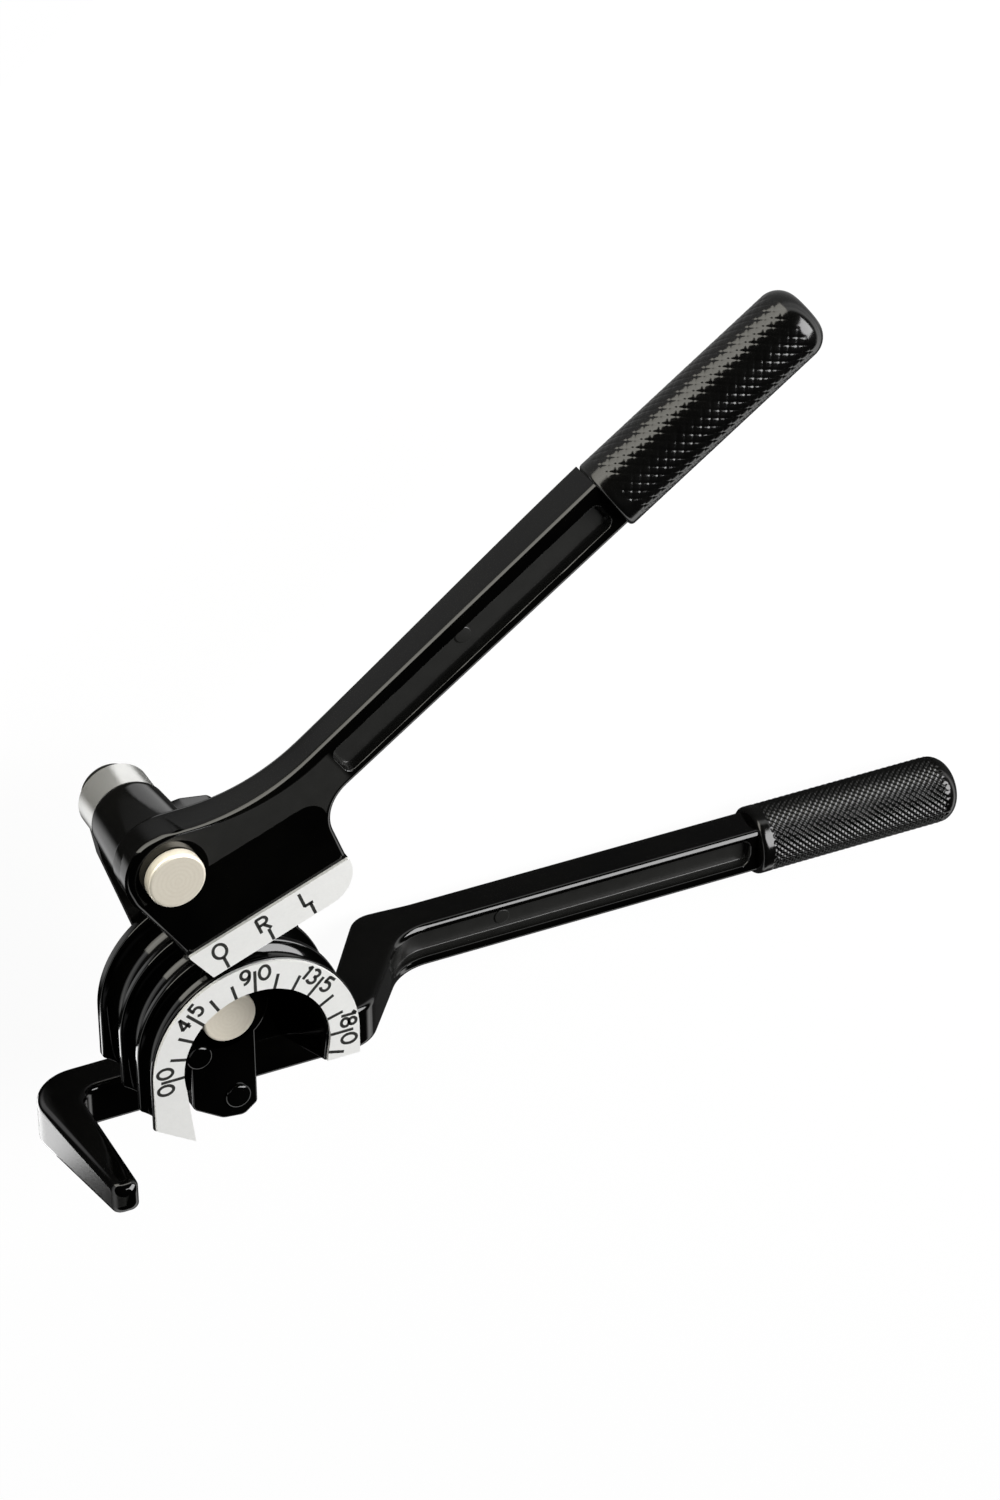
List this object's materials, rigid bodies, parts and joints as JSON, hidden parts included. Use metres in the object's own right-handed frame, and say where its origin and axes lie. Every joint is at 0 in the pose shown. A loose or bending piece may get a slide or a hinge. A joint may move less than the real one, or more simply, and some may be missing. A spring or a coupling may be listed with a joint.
{
  "type": "tube bender",
  "caption": "Hand lever tube bender with a grooved half-round die, degree dial, holding hook, grooved swinging shoe and knurled handle grips.",
  "frame": {"origin": "on the bend axis at the centre of the die pin, at the die's back face", "axes": "+X along the lower handle towards its grip, +Y towards the upper handle, +Z along the bend axis out of the dial"},
  "size_m": [0.2423, 0.1831, 0.0708],
  "materials": {
    "black_paint": "gloss",
    "satin_aluminium": "satin",
    "black_grip": "knurled",
    "bronze": "machined",
    "black_steel": "satin",
    "plated_steel": "satin",
    "steel": "turned"
  },
  "bodies": {
    "lower_arm_and_die": {"lower_handle": "black_paint", "bending_die": "black_paint", "die_rivets": "black_paint", "degree_scale": "satin_aluminium", "lower_grip": "black_grip", "die_bush": "bronze"},
    "link": {"link_plate": "black_steel", "thrust_washer": "steel", "die_pin": "plated_steel", "die_tail_washer": "steel", "handle_pin": "plated_steel", "pivot_collar": "steel", "handle_tail_washer": "steel"},
    "upper_arm_and_shoe": {"upper_handle": "black_paint", "index_scale": "satin_aluminium", "upper_grip": "black_grip", "barrel_bushes": "bronze", "head_washer": "steel"}
  },
  "joints": [
    {"name": "link_swing", "type": "hinge", "parent": "lower_arm_and_die", "child": "link", "pos_m": [0, 0, 0], "axis": [0, 0, 1], "range_deg": [-103, 77]},
    {"name": "handle_pivot", "type": "hinge", "parent": "link", "child": "upper_arm_and_shoe", "pos_m": [-0.01683, 0.05105, 0], "axis": [0, 0, 1], "range_deg": [0, 100]}
  ]
}
